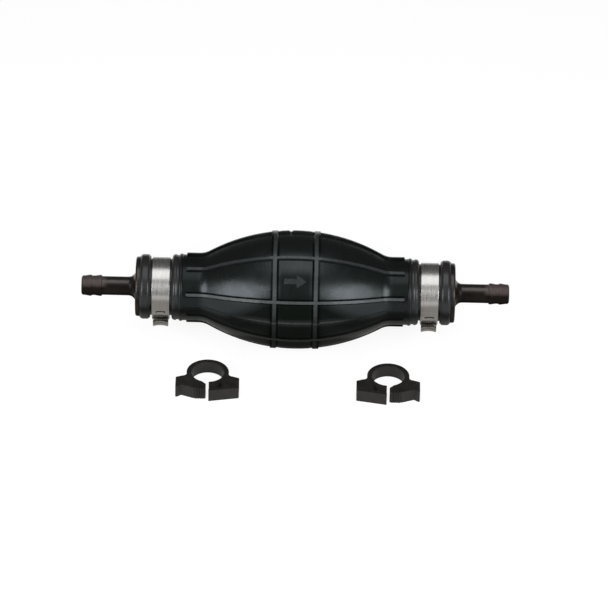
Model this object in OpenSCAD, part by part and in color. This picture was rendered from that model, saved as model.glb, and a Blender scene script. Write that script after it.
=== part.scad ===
// Hand primer bulb for a fuel or siphon line, with the two ratchet clips for its hoses.
// Flow runs along +X. The bulb lies on the plane z = 0, on its two ring ribs, whose rubber is
// pressed flat there, and the loose clips lie in front of it.

/* [Bulb] */
// Outer radius of the rubber wall at the middle of the belly
belly_r = 29.2; // [27:0.1:32]
// Radius of the arc that the belly follows from neck to neck
belly_arc_r = 88; // [80:1:100]
// Thickness of the rubber wall in the belly and necks
wall_t = 3; // [2:0.1:4]
// Outer radius of each neck, between belly and beads
neck_r = 16.5; // [16.2:0.1:18]
// Radius of the fillet where the belly runs into a neck
neck_fillet_r = 10; // [4:0.5:14]
// Distance from the middle of the bulb to each end of its rubber
bulb_half_len = 77.5; // [76:0.5:84]

/* [Ribs] */
// Number of ribs that run from neck to neck
rib_count = 8; // [6:1:12]
// Width of a lengthwise rib
rib_w = 1.9; // [1:0.1:3]
// Height of a lengthwise rib on the belly
rib_h = 1; // [0.4:0.05:1.5]
// Height of a lengthwise rib on the necks
neck_rib_h = 1.2; // [0.5:0.1:1.5]
// Plain neck left between the end of a lengthwise rib and the inner bead
rib_gap = 1.5; // [0.5:0.1:3]
// Distance from the middle of the bulb to each ring rib
ring_x = 10.2; // [6:0.1:16]
// Width of a ring rib
ring_w = 3; // [2.2:0.1:3.6]
// Height of a ring rib's crest above the middle of the belly
ring_h = 0.3; // [0.1:0.05:1.5]
// Depth to which a ring rib is pressed flat where the bulb lies on it
rest_flat = 0.25; // [0.05:0.05:0.3]
// Width of the vent notch in the upper rear rib
notch_w = 2; // [1:0.1:4]
// Depth of the vent notch in the upper rear rib
notch_depth = 0.9; // [0.3:0.1:1.2]
// Distance of the vent notch from the middle, towards the inlet
notch_x = 2.6; // [0:0.1:6]

/* [Bulb ends] */
// Height of the bead at each end of the rubber, above the clamp's seat
end_bead_h = 1.85; // [1.4:0.05:2.6]
// Radius of that bead's rounding
end_bead_round = 2.4; // [1.8:0.1:2.5]
// Length of the rubber from its end to the clamp's seat
end_bead_w = 5.15; // [5:0.05:6]
// Radius of the seat under a neck clamp
band_seat_r = 14.15; // [13.6:0.05:14.8]
// Length of the seat under a neck clamp
band_seat_w = 10.75; // [10:0.05:12]
// Height of the bead that stops the clamp, above the clamp's seat
stop_bead_h = 2.35; // [1.9:0.05:3]
// Radius of the stop bead's rounding
stop_bead_round = 1.6; // [1.2:0.1:1.65]
// Height of the bead next to the neck, above the neck
inner_bead_h = 0.4; // [0.2:0.05:1]
// Radius of the inner bead's rounding
inner_bead_round = 1.2; // [0.8:0.1:1.3]
// Distance between the crests of those two beads
bead_pitch = 3; // [2.8:0.1:3.4]
// Depth of the groove between those two beads, below the neck
bead_groove_d = 0.9; // [0.6:0.1:1.3]

/* [End fittings] */
// Length of a hose barb, from its tip to the flange
barb_len = 27.15; // [24:0.05:32]
// Radius of the barb's plain stem
stem_r = 4.7; // [4.4:0.05:5]
// Radius of the two ridges that hold the hose
ridge_r = 5.3; // [5.1:0.05:5.8]
// Radius of the barb at its tip and between the ridges
valley_r = 4.9; // [4.7:0.05:5]
// Distance from the barb's tip to the middle of the first ridge
first_ridge = 4.5; // [4:0.1:6]
// Distance between the ridges
ridge_pitch = 5; // [4.4:0.1:6]
// Length of the cylinder on top of a ridge
ridge_land = 0.8; // [0.4:0.1:1.2]
// Length of the slope up to a ridge
ridge_ramp = 2.4; // [1.5:0.1:2.8]
// Length of the drop behind a ridge
ridge_drop = 0.5; // [0.2:0.1:0.8]
// Chamfer on the barb's tip
tip_chamfer = 0.7; // [0.3:0.1:1]
// Radius of the fillet where the barb meets the flange
flare_r = 3.8; // [2:0.1:6]
// Radius of the fuel passage through the barb
passage_r = 3; // [2.5:0.1:3.2]
// Radius of the flange
flange_r = 14.9; // [14:0.1:16]
// Thickness of the flange
flange_t = 2.2; // [1.5:0.1:4]
// Chamfer round the flange
flange_chamfer = 0.4; // [0.1:0.1:0.7]
// Radius of the spigot that the bulb's end is pushed over
spigot_r = 10.4; // [10.1:0.1:10.8]
// Height of the grip rings round the spigot
grip_ring_h = 0.55; // [0.3:0.05:0.9]
// Length of the slope up to a grip ring
grip_ramp = 2; // [1.5:0.1:2.2]
// Length of the cylinder on top of a grip ring
grip_land = 0.8; // [0.4:0.1:0.9]
// Number of grip rings round the spigot
grip_rings = 4; // [2:1:5]
// Distance between the grip rings
grip_pitch = 3.6; // [3.2:0.1:3.8]
// Length of the spigot beyond the valve that it holds
spigot_past = 1.5; // [0.5:0.1:4]
// How far the spigot reaches out of the narrow bore in the bulb's end
spigot_reach = 1; // [0.5:0.1:2]
// Clearance between the grip rings and the bulb's bore
bore_fit = 0.05; // [0.02:0.01:0.2]

/* [Check valves] */
// Radius of the pocket that holds a valve
pocket_r = 8.5; // [8.2:0.1:9]
// Depth of plastic between the rubber's end and the pocket's floor
pocket_floor = 5; // [4:0.1:5.5]
// Length of a valve, from its seat's outer face to its cage's end
valve_len = 15; // [14.5:0.1:16]
// Clearance of seat and cage in the pocket
valve_fit = 0.05; // [0.02:0.01:0.15]
// Radius of the hole through the valve seat
seat_hole_r = 4; // [3.5:0.1:4.5]
// Thickness of the valve seat
seat_t = 3; // [2.6:0.1:3.6]
// Height of the sealing lip on the seat
lip_h = 0.6; // [0.3:0.1:1]
// Width of the sealing lip on the seat
lip_w = 0.8; // [0.5:0.1:1.2]
// Section of the O-ring round the seat
oring_d = 1.5; // [1:0.1:1.8]
// Clearance left round a rubber seal
seal_clear = 0.05; // [0.02:0.01:0.1]
// Radius of the poppet's head
head_r = 6.2; // [5.8:0.1:6.6]
// Thickness of the poppet's head
head_t = 2; // [1.5:0.1:2.5]
// Radius of the nose on the poppet that carries its seal
nose_r = 2.8; // [2:0.1:3.1]
// Radius of the blunt end of that nose
nose_tip_r = 1.4; // [0.6:0.1:1.8]
// Length of the rounded nose beyond the seal
nose_len = 1.6; // [1:0.1:2.4]
// Thickness of the poppet's seal
seal_t = 1; // [0.6:0.1:1.5]
// Radius of the poppet's seal
seal_r = 6; // [5.4:0.1:6.1]
// Radius of the poppet's stem
guide_r = 1.5; // [1.2:0.1:1.8]
// Radius of the shoulder that stops the poppet
shoulder_r = 2; // [1.9:0.1:2.3]
// Running clearance of the stem in its guide
guide_fit = 0.06; // [0.03:0.01:0.1]
// How far the stem reaches past the cage
stem_past = 0.2; // [0:0.1:1]
// How far the poppet lifts off its seat
valve_lift = 2; // [1.5:0.1:2.2]
// Gap left between shoulder and hub at full lift
stop_clear = 0.15; // [0.1:0.05:0.3]
// Wall of the cage's skirt
skirt_t = 1.2; // [0.8:0.1:1.5]
// Radius of the cage's hub
hub_r = 3.9; // [3.7:0.1:4.4]
// Thickness of the cage's hub and spokes
hub_t = 1.6; // [1.2:0.1:2]
// Distance from the cage's end to the back of its hub
hub_inset = 1.4; // [1:0.1:2]
// Number of spokes in the cage
spokes = 4; // [3:1:6]
// Width of a spoke
spoke_w = 1.6; // [1:0.1:2]

/* [Valve springs] */
// Wire of the valve spring
wire_d = 0.6; // [0.4:0.05:0.7]
// Radius of the spring, to the middle of its wire
coil_r = 3.1; // [3:0.05:3.3]
// Turns of the valve spring
turns = 4; // [3:1:4]
// Clearance at each end of the spring
spring_clear = 0.05; // [0.02:0.01:0.1]

/* [Neck clamps] */
// Width of the steel band
band_w = 8.75; // [7:0.05:9.5]
// Thickness of the steel band
band_t = 0.7; // [0.5:0.05:0.8]
// Width of the ear, along the pump
ear_w = 7.6; // [6:0.1:8]
// Height of the ear above the band
ear_h = 4.95; // [4:0.05:6]
// Radius of the ear's rounded shoulders
ear_round = 1.5; // [1.2:0.1:1.8]
// Half the width of the ear across its shoulders
ear_half = 3.2; // [2.8:0.1:3.8]
// Half the width of the ear at its pinched waist
waist_half = 1.9; // [1.6:0.1:2.2]
// How far the ear's feet spread along the band
foot_spread = 1.4; // [0.8:0.1:2]
// Turn of the ear about the pump from straight up, towards the front
ear_turn = 145; // [0:5:355]
// Angle that the outer end of the band overlaps, from the ear
lap_angle = 50; // [35:1:70]
// Width of a hook window, along the pump
window_w = 4.6; // [3:0.1:5.5]
// Length of a hook window, round the band
window_len = 1.5; // [1:0.1:2]
// Angle from the ear to the first hook window
window_start = 22; // [20:1:26]
// Angle between the hook windows
window_pitch = 13; // [10:1:16]
// Number of hook windows
windows = 2; // [1:1:2]
// Clearance of a hook in its window
hook_clear = 0.35; // [0.2:0.05:0.4]
// Height of a hook above the band that it holds
hook_h = 0.35; // [0.2:0.05:0.6]

/* [Hose clips] */
// Radius of an open clip's bore
clip_bore_r = 8.5; // [8:0.1:9]
// Radial thickness of the clip's bow
bow_t = 2; // [1.6:0.1:2.6]
// Height of a clip, along its hose
clip_h = 6.4; // [5:0.1:8]
// Gap between the open jaws
jaw_gap = 2; // [1.4:0.1:3]
// How far each jaw reaches out beside the bow
jaw_out = 5.25; // [4:0.05:6.5]
// Thickness of the fork's inner arm, next to the bore
inner_arm_t = 1.5; // [1.3:0.1:1.9]
// Thickness of the tongue, which enters the fork's slot
tongue_t = 4; // [3.4:0.1:4.2]
// Clearance between the tongue and the fork's outer arm
slot_clear = 0.25; // [0.2:0.05:0.4]
// Thickness of the fork's outer arm
outer_arm_t = 1.45; // [1.2:0.05:2]
// How far the end of the fork's front face lies behind its tip
fork_slope = 3; // [1.7:0.1:3.7]
// Depth of the hollow in the tongue jaw's front face
grip_hollow = 3; // [2.4:0.1:3.4]
// Distance of that hollow from the end of the jaw
grip_in = 2.85; // [2:0.05:3.5]
// Length over which the front face comes out of the hollow
grip_run = 6; // [5:0.1:7]
// How far the hollow is already left behind halfway along that length
grip_rise = 1.2; // [0.8:0.1:1.5]
// Height of the lip at the end of the tongue jaw, above the hollow
grip_lip_h = 1.5; // [1:0.1:2]
// Width of that lip
grip_lip_w = 1; // [0.6:0.1:1.4]
// Depth of the jaws' rear corners in front of the clip's middle
jaw_back = 5.3; // [4.6:0.1:6]
// Depth in front of the clip's middle where the jaws leave the bow
jaw_root = 3.5; // [2.5:0.1:4.5]
// Length over which a jaw's rear face blends into the bow
jaw_blend = 1; // [0.5:0.1:1.5]
// Angle that the slot reaches round from the front
slot_angle = 43; // [36:1:45]
// Angle of the ramp that the fork's inner arm slides under
ramp_angle = 30; // [24:1:36]
// Number of teeth on the tongue, and of teeth in the fork
clip_teeth = 5; // [3:1:6]
// Pitch of the ratchet teeth
tooth_pitch = 1.2; // [1:0.05:1.3]
// Height of the ratchet teeth
tooth_h = 0.55; // [0.3:0.05:0.7]

/* [Layout] */
// Distance of the loose clips in front of the pump's axis
clip_ahead = 40; // [38:0.5:80]
// Place of the left clip along the pump
left_clip_x = -42.5; // [-70:0.5:-30]
// Place of the right clip along the pump
right_clip_x = 47.1; // [30:0.1:70]

/* [Hidden] */
// Circles that turn or bore a piece
$fn = 96;
// Arcs that are tangent overlap by this much, so that they cross cleanly
seam = 0.02;
// Cutters reach this far past the faces that they cut
past = 1;
ring_r = belly_r + ring_h;
pump_z = ring_r - rest_flat;
belly_centre = belly_r - belly_arc_r;
band_x = bulb_half_len - end_bead_w - band_seat_w / 2;
stop_bead_x = bulb_half_len - end_bead_w - band_seat_w - stop_bead_round;
inner_bead_x = stop_bead_x - bead_pitch;
end_bead_r = band_seat_r + end_bead_h;
stop_bead_r = band_seat_r + stop_bead_h;
inner_bead_r = neck_r + inner_bead_h;
bead_groove_r = neck_r - bead_groove_d;
rib_half_len = inner_bead_x - inner_bead_round - rib_gap;
bulb_bore_r = spigot_r + grip_ring_h + bore_fit;
spigot_end_x = bulb_half_len - pocket_floor - valve_len - spigot_past;
bore_end_x = spigot_end_x + spigot_reach;
flange_face_x = bulb_half_len + flange_t;
tip_x = flange_face_x + barb_len;
floor_x = bulb_half_len - pocket_floor;
inlet_valve_x = -floor_x;
outlet_valve_x = floor_x - valve_len;
// Stations along a valve, from the seat's upstream face
seal_s = seat_t + lip_h + seal_clear;
head_s = seal_s + seal_t;
stem_s = head_s + head_t;
hub_s = valve_len - hub_inset - hub_t;
shoulder_len = hub_s - stem_s - valve_lift - stop_clear;
band_r = band_seat_r + band_t;
bow_r = clip_bore_r + bow_t;
slot_in_r = clip_bore_r + inner_arm_t;
tongue_r = slot_in_r + tongue_t;
slot_out_r = tongue_r + slot_clear;
fork_front = slot_out_r + outer_arm_t;
jaw_reach = bow_r + jaw_out;
// The pump's axis and the clips' middles, with the whole set centred on y = 0
pump_y = (clip_ahead + fork_front - ring_r) / 2;
clip_y = pump_y - clip_ahead;

module on_pump() { translate([0, pump_y, pump_z]) children(); }
// Turns a profile drawn as [radius, x] about the pump's axis
module turned() { rotate([0, 90, 0]) rotate_extrude() children(); }
// Extrudes an outline drawn as [y, z] along the pump
module across(w) { rotate([90, 0, 90]) linear_extrude(height = w, center = true) children(); }
module slab(r, from_x, to_x) { translate([0, min(from_x, to_x)]) square([r, abs(to_x - from_x)]); }

// Belly arc, necks and the fillets between them, grown by one amount on the belly
module bulb_form(belly_grow, neck_top, neck_to) {
    arc = belly_arc_r + belly_grow;
    up = neck_top + neck_fillet_r - belly_centre;
    fillet_x = sqrt(pow(arc + neck_fillet_r, 2) - up * up);
    share = arc / (arc + neck_fillet_r);
    touch_x = fillet_x * share;
    touch_r = belly_centre + up * share;
    intersection() {
        translate([belly_centre, 0]) circle(r = arc, $fn = 720);
        translate([0, -touch_x - seam]) square([belly_r + past * 2, 2 * (touch_x + seam)]);
    }
    slab(neck_top, -neck_to, neck_to);
    for (s = [-1, 1]) difference() {
        slab(touch_r, s * (touch_x - past), s * fillet_x);
        translate([neck_top + neck_fillet_r - seam, s * fillet_x]) circle(r = neck_fillet_r);
    }
}

module bead(r, x, round_r) { translate([r - round_r, x]) circle(r = round_r, $fn = 48); }

module bulb_skin() {
    bulb_form(0, neck_r, inner_bead_x);
    end_r = end_bead_r - end_bead_round / 2;
    groove_end = stop_bead_x + stop_bead_round;
    slab(bead_groove_r, -groove_end, groove_end);
    slab(band_seat_r, -bulb_half_len + past, bulb_half_len - past);
    for (s = [-1, 1]) {
        bead(inner_bead_r, s * inner_bead_x, inner_bead_round);
        bead(stop_bead_r, s * stop_bead_x, stop_bead_round);
        slab(end_r, s * (bulb_half_len - end_bead_w), s * bulb_half_len);
        bead(end_bead_r, s * (bulb_half_len - end_bead_w / 2), end_bead_round);
        slab(ring_r - ring_w / 2, s * (ring_x - ring_w / 2), s * (ring_x + ring_w / 2));
        bead(ring_r, s * ring_x, ring_w / 2);
    }
}

module bulb_hollow() {
    neck_in_r = neck_r - wall_t;
    taper_x = bore_end_x - neck_in_r + bulb_bore_r;
    mouth_x = bulb_half_len + past;
    bulb_form(-wall_t, neck_in_r, taper_x);
    polygon([[0, -mouth_x], [bulb_bore_r, -mouth_x], [bulb_bore_r, -bore_end_x],
        [neck_in_r, -taper_x], [neck_in_r, taper_x], [bulb_bore_r, bore_end_x],
        [bulb_bore_r, mouth_x], [0, mouth_x]]);
}

// Crests of the lengthwise ribs, down into the wall, and past the ribs' rounded ends
module rib_band() {
    difference() {
        bulb_form(rib_h, neck_r + neck_rib_h, rib_half_len + past);
        bulb_form(-past, neck_r - past, rib_half_len + 2 * past);
    }
}

module rib_prisms() {
    run = 2 * rib_half_len - rib_w;
    for (k = [0:rib_count - 1]) rotate([180 / rib_count + 360 / rib_count * k, 0, 0])
        translate([0, 0, neck_r / 2]) linear_extrude(height = belly_r) union() {
            square([run, rib_w], center = true);
            for (s = [-1, 1]) translate([s * run / 2, 0]) circle(d = rib_w, $fn = 24);
        }
}

module vent_notch() {
    rib_angle = 180 / rib_count;
    rotate([-rib_angle, 0, 0]) translate([-notch_x - notch_w / 2, -rib_w, belly_r + rib_h - notch_depth])
        cube([notch_w, 2 * rib_w, rib_h + past]);
}

module bulb() {
    color([0.07, 0.08, 0.08]) on_pump() difference() {
        union() {
            turned() difference() { bulb_skin(); bulb_hollow(); }
            intersection() { turned() rib_band(); rib_prisms(); }
        }
        vent_notch();
        // The plane that the bulb lies on
        translate([-bulb_half_len, -belly_r, -pump_z - belly_r])
            cube([2 * bulb_half_len, 2 * belly_r, belly_r]);
    }
}

// Drawn for the outlet end; the inlet's is its mirror image
module fitting_skin() {
    for (k = [0, 1]) ridge(tip_x - first_ridge - k * ridge_pitch);
    slab(valley_r, tip_x - first_ridge - ridge_pitch, tip_x - tip_chamfer);
    polygon([[0, tip_x - tip_chamfer], [valley_r, tip_x - tip_chamfer],
        [valley_r - tip_chamfer, tip_x], [0, tip_x]]);
    slab(stem_r, bulb_half_len, tip_x - first_ridge);
    difference() {
        slab(stem_r + flare_r, flange_face_x - past, flange_face_x + flare_r);
        translate([stem_r + flare_r - seam, flange_face_x + flare_r - seam]) circle(r = flare_r);
    }
    polygon([[0, bulb_half_len], [flange_r, bulb_half_len],
        [flange_r, flange_face_x - flange_chamfer],
        [flange_r - flange_chamfer, flange_face_x], [0, flange_face_x]]);
    slab(spigot_r, spigot_end_x, bulb_half_len + past);
    for (k = [0:grip_rings - 1]) grip_ring(bulb_half_len - grip_pitch * (k + 1));
}

module ridge(x) {
    half = ridge_land / 2;
    back_x = x - half - ridge_drop;
    front_x = x + half + ridge_ramp;
    polygon([[0, back_x], [valley_r, back_x], [ridge_r, x - half], [ridge_r, x + half],
        [valley_r, front_x], [0, front_x]]);
}

// Saw-toothed, so that the rubber slides on and doesn't slide off
module grip_ring(x) {
    crest_r = spigot_r + grip_ring_h;
    polygon([[spigot_r - past, x - grip_land - grip_ramp], [spigot_r, x - grip_land - grip_ramp],
        [crest_r, x - grip_land], [crest_r, x], [spigot_r - past, x]]);
}

module fitting_hollow() {
    slab(passage_r, floor_x - past, tip_x + past);
    polygon([[0, floor_x - past], [seat_hole_r, floor_x - past], [seat_hole_r, floor_x],
        [passage_r, flange_face_x], [0, flange_face_x]]);
    slab(pocket_r, spigot_end_x - past, floor_x);
}

module fitting() {
    color([0.1, 0.09, 0.1]) turned() difference() { fitting_skin(); fitting_hollow(); }
}

module outlet_fitting() { on_pump() fitting(); }
module inlet_fitting() { on_pump() mirror([1, 0, 0]) fitting(); }

module at_valve(x) { on_pump() translate([x, 0, 0]) children(); }

module valve_seat() {
    rim_r = pocket_r - valve_fit;
    groove_w = oring_d + 2 * seal_clear;
    color([0.85, 0.83, 0.76]) turned() difference() {
        union() {
            slab(rim_r, 0, seat_t);
            slab(seat_hole_r + lip_w, 0, seat_t + lip_h);
        }
        translate([0, -past]) square([seat_hole_r, seat_t + lip_h + 2 * past]);
        translate([pocket_r - oring_d - 2 * seal_clear, (seat_t - groove_w) / 2])
            square([oring_d + past, groove_w]);
    }
}

module seat_oring() {
    color([0.05, 0.05, 0.05]) turned()
        translate([pocket_r - seal_clear - oring_d / 2, seat_t / 2]) circle(d = oring_d, $fn = 48);
}

// Head, seal nose, stop shoulder and guided stem, in one moulding
module poppet() {
    tip_s = seal_s - nose_len;
    color([0.9, 0.89, 0.84]) turned() union() {
        slab(head_r, head_s, stem_s);
        polygon([[0, tip_s], [nose_tip_r, tip_s], [nose_r, seal_s], [nose_r, head_s + seam],
            [0, head_s + seam]]);
        slab(shoulder_r, stem_s, stem_s + shoulder_len);
        slab(guide_r, stem_s, valve_len + stem_past);
    }
}

module poppet_seal() {
    color([0.05, 0.05, 0.05]) turned() difference() {
        slab(seal_r, seal_s, head_s);
        slab(nose_r, seal_s - past, head_s + past);
    }
}

module valve_cage() {
    skirt_in_r = pocket_r - valve_fit - skirt_t;
    color([0.8, 0.79, 0.74]) difference() {
        union() {
            turned() difference() {
                slab(pocket_r - valve_fit, seat_t, valve_len);
                slab(skirt_in_r, 0, valve_len + past);
            }
            turned() slab(hub_r, hub_s, hub_s + hub_t);
            for (k = [0:spokes - 1]) rotate([360 / spokes * k, 0, 0])
                translate([hub_s, -spoke_w / 2, hub_r - past])
                    cube([hub_t, spoke_w, skirt_in_r + skirt_t / 2 - hub_r + past]);
        }
        turned() slab(guide_r + guide_fit, 0, valve_len + past);
    }
}

// One unbroken helix of wire, between the poppet's head and the cage's hub
rings_per_turn = 8;
wire_sides = 6;
spring_s0 = stem_s + spring_clear + wire_d / 2;
spring_s1 = hub_s - spring_clear - wire_d / 2;
spring_rings = turns * rings_per_turn;
function coil_point(i) = [spring_s0 + (spring_s1 - spring_s0) * i / spring_rings,
    coil_r * cos(360 * i / rings_per_turn), coil_r * sin(360 * i / rings_per_turn)];
function wire_point(i, j) =
    let (turn = 360 * i / rings_per_turn, side = 360 * j / wire_sides,
         out = wire_d / 2 * cos(side), along = wire_d / 2 * sin(side))
    coil_point(i) + [along, out * cos(turn), out * sin(turn)];
spring_gap = min([for (i = [0:spring_rings], j = [i + rings_per_turn / 2:spring_rings])
    norm(coil_point(i) - coil_point(j)) - wire_d]);
echo(least_gap_between_spring_turns_mm = spring_gap);

module valve_spring() {
    last = spring_rings * wire_sides;
    points = [for (i = [0:spring_rings], j = [0:wire_sides - 1]) wire_point(i, j)];
    walls = [for (i = [0:spring_rings - 1], j = [0:wire_sides - 1])
        let (a = i * wire_sides, b = a + wire_sides, n = (j + 1) % wire_sides)
        each [[a + j, b + j, a + n], [a + n, b + j, b + n]]];
    caps = [for (j = [1:wire_sides - 2])
        each [[0, j, j + 1], [last, last + j + 1, last + j]]];
    color("silver") polyhedron(points = points, faces = concat(walls, caps));
}

module inlet_valve_seat() { at_valve(inlet_valve_x) valve_seat(); }
module outlet_valve_seat() { at_valve(outlet_valve_x) valve_seat(); }
module inlet_seat_oring() { at_valve(inlet_valve_x) seat_oring(); }
module outlet_seat_oring() { at_valve(outlet_valve_x) seat_oring(); }
module inlet_poppet() { at_valve(inlet_valve_x) poppet(); }
module outlet_poppet() { at_valve(outlet_valve_x) poppet(); }
module inlet_poppet_seal() { at_valve(inlet_valve_x) poppet_seal(); }
module outlet_poppet_seal() { at_valve(outlet_valve_x) poppet_seal(); }
module inlet_valve_spring() { at_valve(inlet_valve_x) valve_spring(); }
module outlet_valve_spring() { at_valve(outlet_valve_x) valve_spring(); }
module inlet_valve_cage() { at_valve(inlet_valve_x) valve_cage(); }
module outlet_valve_cage() { at_valve(outlet_valve_x) valve_cage(); }

// The ear points up here; neck_clamp turns it to its place
module ear_outline(inset) {
    lobe_x = ear_half - ear_round;
    lobe_y = band_r + ear_h - ear_round;
    for (s = [-1, 1]) translate([s * lobe_x, lobe_y]) circle(r = ear_round - inset, $fn = 48);
    translate([-lobe_x, lobe_y - ear_round + inset]) square([2 * lobe_x, 2 * (ear_round - inset)]);
    translate([inset - waist_half, band_r - band_t / 2])
        square([2 * (waist_half - inset), lobe_y - band_r + band_t / 2]);
}

module ear_feet() {
    foot_top = band_r + foot_spread;
    foot_x = waist_half + foot_spread;
    difference() {
        polygon([[-foot_x, band_r - band_t / 2], [foot_x, band_r - band_t / 2],
            [waist_half, foot_top], [-waist_half, foot_top]]);
        translate([band_t - waist_half, 0]) square([2 * (waist_half - band_t), foot_top + past]);
    }
}

module ring_outline(r_in, r_out) {
    difference() { circle(r = r_out); circle(r = r_in); }
}

// Wedge from one angle to another, counted from the ear towards the front
module wedge(from_a, to_a) {
    far = 2 * band_r;
    mid_a = (from_a + to_a) / 2;
    polygon([[0, 0], for (a = [to_a, mid_a, from_a]) far * [sin(a), cos(a)]]);
}

module neck_clamp(x) {
    ear_foot_a = asin(waist_half / band_r);
    color([0.72, 0.72, 0.71]) translate([x, 0, 0]) rotate([ear_turn, 0, 0]) {
        across(band_w) ring_outline(band_seat_r, band_r);
        across(ear_w) union() {
            difference() { ear_outline(0); ear_outline(band_t); }
            ear_feet();
        }
        difference() {
            across(band_w) intersection() {
                ring_outline(band_r - band_t / 2, band_r + band_t);
                wedge(ear_foot_a, lap_angle);
            }
            window_blocks(window_w, window_len, band_r - band_t, band_r + 2 * band_t);
        }
        window_blocks(window_w - 2 * hook_clear, window_len - 2 * hook_clear,
            band_r - band_t / 2, band_r + band_t + hook_h);
    }
}

// A block at each hook window, from one radius to another
module window_blocks(w, l, from_r, to_r) {
    for (k = [0:windows - 1]) rotate([-window_start - k * window_pitch, 0, 0])
        translate([-w / 2, -l / 2, from_r]) cube([w, l, to_r - from_r]);
}

module inlet_neck_clamp() { on_pump() neck_clamp(-band_x); }
module outlet_neck_clamp() { on_pump() neck_clamp(band_x); }

// Jaws in front of the clip's bore: the fork is at +x, the tongue at -x
module fork_block() {
    polygon([[jaw_gap / 2, -fork_front], [jaw_reach, fork_slope - fork_front],
        [jaw_reach, -jaw_back], [bow_r + jaw_blend, -jaw_root - jaw_blend / 2],
        [bow_r - jaw_blend / 2, -jaw_root], [jaw_gap / 2, -clip_bore_r + past]]);
}

module tongue_block() {
    hollow_x = grip_in - jaw_reach;
    hollow_y = grip_hollow - tongue_r;
    polygon([[-jaw_gap / 2, -clip_bore_r + past], [jaw_blend / 2 - bow_r, -jaw_root],
        [-bow_r - jaw_blend, -jaw_root - jaw_blend / 2], [-jaw_reach, -jaw_back],
        [-jaw_reach, hollow_y - grip_lip_h], [grip_lip_w - jaw_reach, hollow_y - grip_lip_h],
        [hollow_x, hollow_y], [hollow_x + grip_run / 2, hollow_y - grip_rise],
        [hollow_x + grip_run, tooth_h - tongue_r], [-jaw_gap / 2, tooth_h - tongue_r]]);
}

// A sector of a ring in front of the clip, from the gap round to an angle on one side
module front_sector(r_in, r_out, angle, side) {
    far = 2 * r_out;
    intersection() {
        ring_outline(r_in, r_out);
        polygon([[0, 0], [0, -far], [side * far * sin(angle), -far * cos(angle)]]);
    }
}

module clip_outline() {
    tooth_turn = tooth_pitch / tongue_r * 180 / PI;
    ramp_from = clip_bore_r * [-sin(ramp_angle), -cos(ramp_angle)];
    ramp_to = [-jaw_gap / 2, -slot_in_r];
    ramp = ramp_from - ramp_to;
    difference() {
        union() {
            circle(r = bow_r);
            fork_block();
            tongue_block();
        }
        circle(r = clip_bore_r);
        translate([-jaw_gap / 2, -2 * jaw_reach]) square([jaw_gap, 2 * jaw_reach]);
        front_sector(slot_in_r, slot_out_r, slot_angle, 1);
        // Ramp on the tongue, above which the fork's inner arm slides in
        polygon([[0, 0], ramp_from + past * ramp / norm(ramp), ramp_to, [0, -slot_in_r]]);
    }
    for (k = [1:clip_teeth]) rotate(tooth_turn * (k + 1)) fork_tooth();
    for (k = [1:clip_teeth - 1]) rotate(-tooth_turn * k) tongue_tooth();
}

// Teeth slope one way and stand square the other, so that the jaws close and stay closed
module fork_tooth() {
    polygon([[0, -slot_out_r - tooth_h], [tooth_pitch, -slot_out_r - tooth_h],
        [tooth_pitch, -slot_out_r + tooth_h], [0, -slot_out_r - seam]]);
}

module tongue_tooth() {
    root_y = 2 * tooth_h - tongue_r;
    polygon([[0, root_y], [-tooth_pitch, root_y], [-tooth_pitch, -tongue_r],
        [0, tooth_h + seam - tongue_r]]);
}

module hose_clip() { color([0.13, 0.12, 0.12]) linear_extrude(height = clip_h) clip_outline(); }

module left_hose_clip() { translate([left_clip_x, clip_y, 0]) hose_clip(); }
module right_hose_clip() { translate([right_clip_x, clip_y, 0]) mirror([1, 0, 0]) hose_clip(); }

bulb();
inlet_fitting();
outlet_fitting();
inlet_neck_clamp();
outlet_neck_clamp();
inlet_valve_seat();
outlet_valve_seat();
inlet_seat_oring();
outlet_seat_oring();
inlet_poppet();
outlet_poppet();
inlet_poppet_seal();
outlet_poppet_seal();
inlet_valve_spring();
outlet_valve_spring();
inlet_valve_cage();
outlet_valve_cage();
left_hose_clip();
right_hose_clip();
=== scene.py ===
import math

import bmesh
import bpy
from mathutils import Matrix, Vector


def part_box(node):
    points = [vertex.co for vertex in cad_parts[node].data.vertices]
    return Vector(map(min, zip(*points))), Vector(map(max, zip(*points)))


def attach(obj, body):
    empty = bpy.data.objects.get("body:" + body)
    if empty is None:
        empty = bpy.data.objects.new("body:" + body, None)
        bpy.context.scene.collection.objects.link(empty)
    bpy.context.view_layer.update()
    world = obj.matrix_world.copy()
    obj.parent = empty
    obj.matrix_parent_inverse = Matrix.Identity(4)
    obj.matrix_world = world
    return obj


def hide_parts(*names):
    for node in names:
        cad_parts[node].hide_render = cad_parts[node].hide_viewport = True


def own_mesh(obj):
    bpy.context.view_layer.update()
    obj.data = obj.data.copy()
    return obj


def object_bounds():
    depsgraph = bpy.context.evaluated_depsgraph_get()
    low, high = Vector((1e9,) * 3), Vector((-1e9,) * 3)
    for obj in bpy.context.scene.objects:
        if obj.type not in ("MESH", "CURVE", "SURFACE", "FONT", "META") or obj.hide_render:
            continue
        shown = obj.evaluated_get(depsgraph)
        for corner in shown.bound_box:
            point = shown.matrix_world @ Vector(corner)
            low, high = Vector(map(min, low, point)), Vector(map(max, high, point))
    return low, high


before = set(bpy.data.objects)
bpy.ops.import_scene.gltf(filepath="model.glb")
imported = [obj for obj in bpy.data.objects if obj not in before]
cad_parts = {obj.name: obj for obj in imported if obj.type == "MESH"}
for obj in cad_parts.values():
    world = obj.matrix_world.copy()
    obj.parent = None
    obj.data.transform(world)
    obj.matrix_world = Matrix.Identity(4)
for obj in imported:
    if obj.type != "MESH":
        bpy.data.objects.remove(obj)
cad_box = [list(corner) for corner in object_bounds()]

# Sizes are in metres, like the frame. They are written in millimetres times MM.
MM = 0.001

# Points nearer to each other than this are merged
TOUCHING = 0.002 * MM
# A point nearer to a line than this lies on it
NEAR = 0.02 * MM

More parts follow.
